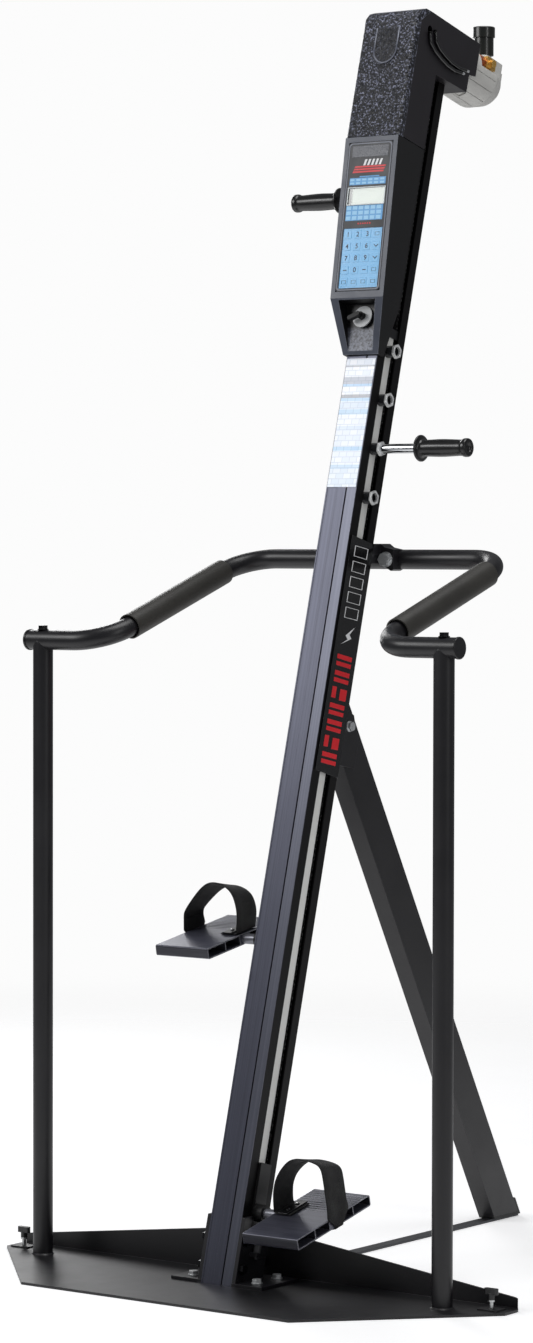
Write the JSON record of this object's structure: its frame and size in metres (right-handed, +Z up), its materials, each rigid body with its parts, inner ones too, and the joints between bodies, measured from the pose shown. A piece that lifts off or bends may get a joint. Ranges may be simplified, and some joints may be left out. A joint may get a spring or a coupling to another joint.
{
  "type": "vertical climber machine",
  "caption": "Standing climbing trainer: leaning column with alternating pedals and hand grips, wrap-round rail, rear strut and console head.",
  "frame": {"origin": "on the floor, under the bottom edge of the column's front face, on the machine's centre plane", "axes": "+X the user's right, +Y away from the user towards the rear strut, +Z up"},
  "size_m": [1.15, 1.199, 2.4003],
  "materials": {
    "powder_black": "satin powder coat",
    "column_grey": "dark grey anodised aluminium",
    "bar_silver": "clear anodised",
    "zinc": "bright zinc plate",
    "chrome": "polished",
    "rubber_black": "moulded matt",
    "sleeve": "smooth dipped",
    "plastic_black": "moulded matt",
    "hood_grain": "coarse moulded grain",
    "console_grey": "textured moulding",
    "pedal_black": "black anodised extrusion",
    "webbing": "woven nylon",
    "steel": "machined",
    "label": "printed film",
    "cover_black": "gloss black with printed shapes",
    "panel": "printed overlay",
    "lcd": "clear window over a grey display",
    "keys_blue": "embossed membrane",
    "board": "solder mask",
    "switch_white": "gloss",
    "cast_grey": "as cast",
    "brass": "machined"
  },
  "bodies": {
    "frame": {"base_plate": "powder_black", "floor_bar": "powder_black", "foot_bracket_right": "powder_black", "foot_bracket_left": "powder_black", "frame_bolts": "zinc", "stop_bumpers": "rubber_black", "post_right": "powder_black", "post_left": "powder_black", "rail": "powder_black", "rail_end_caps": "plastic_black", "rail_sleeve_right": "sleeve", "rail_sleeve_left": "sleeve", "rail_bracket": "powder_black", "strut": "powder_black", "strut_boot": "rubber_black", "strut_bracket": "powder_black", "column": "column_grey", "side_cover_right": "cover_black", "side_cover_left": "cover_black", "label_plate": "label", "chain": "steel", "head_shell": "powder_black", "head_cover": "hood_grain", "console_housing": "console_grey", "console_panel": "panel", "lcd_window": "lcd", "keypad": "keys_blue", "circuit_board": "board", "switch_disc": "switch_white", "pump_mount": "powder_black", "pump_body": "cast_grey", "pump_fittings": "brass", "cables": "rubber_black", "cable_ferrules": "zinc"},
    "right_side": {"slide_bar_right": "bar_silver", "sockets_right": "zinc", "top_shoe_right": "plastic_black", "carriage_right": "powder_black", "pedal_shaft_right": "steel"},
    "left_side": {"slide_bar_left": "bar_silver", "sockets_left": "zinc", "top_shoe_left": "plastic_black", "carriage_left": "powder_black", "pedal_shaft_left": "steel"},
    "right_pedal": {"pedal_right": "pedal_black", "strap_right": "webbing", "strap_clamps_right": "powder_black"},
    "left_pedal": {"pedal_left": "pedal_black", "strap_left": "webbing", "strap_clamps_left": "powder_black"},
    "right_handle": {"handle_shaft_right": "chrome", "grip_right": "rubber_black"},
    "left_handle": {"handle_shaft_left": "chrome", "grip_left": "rubber_black"},
    "top_sprocket": {"sprocket": "steel"},
    "bottom_idler": {"idler": "steel"},
    "valve_knob": {"pump_knob": "plastic_black"},
    "console_switch": {"toggle_knob": "plastic_black"},
    "right_leveller": {"level_knob_right": "plastic_black"},
    "left_leveller": {"level_knob_left": "plastic_black"}
  },
  "joints": [
    {"name": "right_climb", "type": "slide", "parent": "frame", "child": "right_side", "axis": [0, 0.2588, 0.9659], "range_m": [0, 0.508]},
    {"name": "left_climb", "type": "slide", "parent": "frame", "child": "left_side", "axis": [0, 0.2588, 0.9659], "range_m": [-0.508, 0]},
    {"name": "right_pedal_tilt", "type": "hinge", "parent": "right_side", "child": "right_pedal", "pos_m": [0.1, 0.07813, 0.13125], "axis": [1, 0, 0], "range_deg": [-25, 18]},
    {"name": "left_pedal_tilt", "type": "hinge", "parent": "left_side", "child": "left_pedal", "pos_m": [-0.1, 0.20961, 0.62194], "axis": [1, 0, 0], "range_deg": [-25, 18]},
    {"name": "right_handle_pull", "type": "slide", "parent": "right_side", "child": "right_handle", "axis": [1, 0, 0], "range_m": [0, 0.03]},
    {"name": "left_handle_pull", "type": "slide", "parent": "left_side", "child": "left_handle", "axis": [-1, 0, 0], "range_m": [0, 0.03]},
    {"name": "sprocket_turn", "type": "hinge", "parent": "frame", "child": "top_sprocket", "pos_m": [0, 0.72552, 2.32132], "axis": [0, 0.9659, -0.2588], "range_deg": [-1715.1, 0]},
    {"name": "idler_turn", "type": "hinge", "parent": "frame", "child": "bottom_idler", "pos_m": [0, 0.081, 0.02799], "axis": [0, 0.9659, -0.2588], "range_deg": [-1715.1, 0]},
    {"name": "valve_turn", "type": "hinge", "parent": "frame", "child": "valve_knob", "pos_m": [0, 0.884, 2.35], "axis": [0, 0, 1], "range_deg": [0, 300]},
    {"name": "switch_turn", "type": "hinge", "parent": "frame", "child": "console_switch", "pos_m": [0, 0.46589, 1.80285], "axis": [0, -0.9385, 0.3453], "range_deg": [-60, 60]},
    {"name": "right_level_turn", "type": "hinge", "parent": "frame", "child": "right_leveller", "pos_m": [0.54, 0.1, 0.02], "axis": [0, 0, 1], "range_deg": [-360, 360]},
    {"name": "left_level_turn", "type": "hinge", "parent": "frame", "child": "left_leveller", "pos_m": [-0.54, 0.1, 0.02], "axis": [0, 0, 1], "range_deg": [-360, 360]}
  ],
  "couplings": [
    {"joint": "left_climb", "follows": "right_climb", "ratio": -1},
    {"joint": "sprocket_turn", "follows": "right_climb", "rad_per_m": -58.824},
    {"joint": "idler_turn", "follows": "right_climb", "rad_per_m": -58.824}
  ]
}
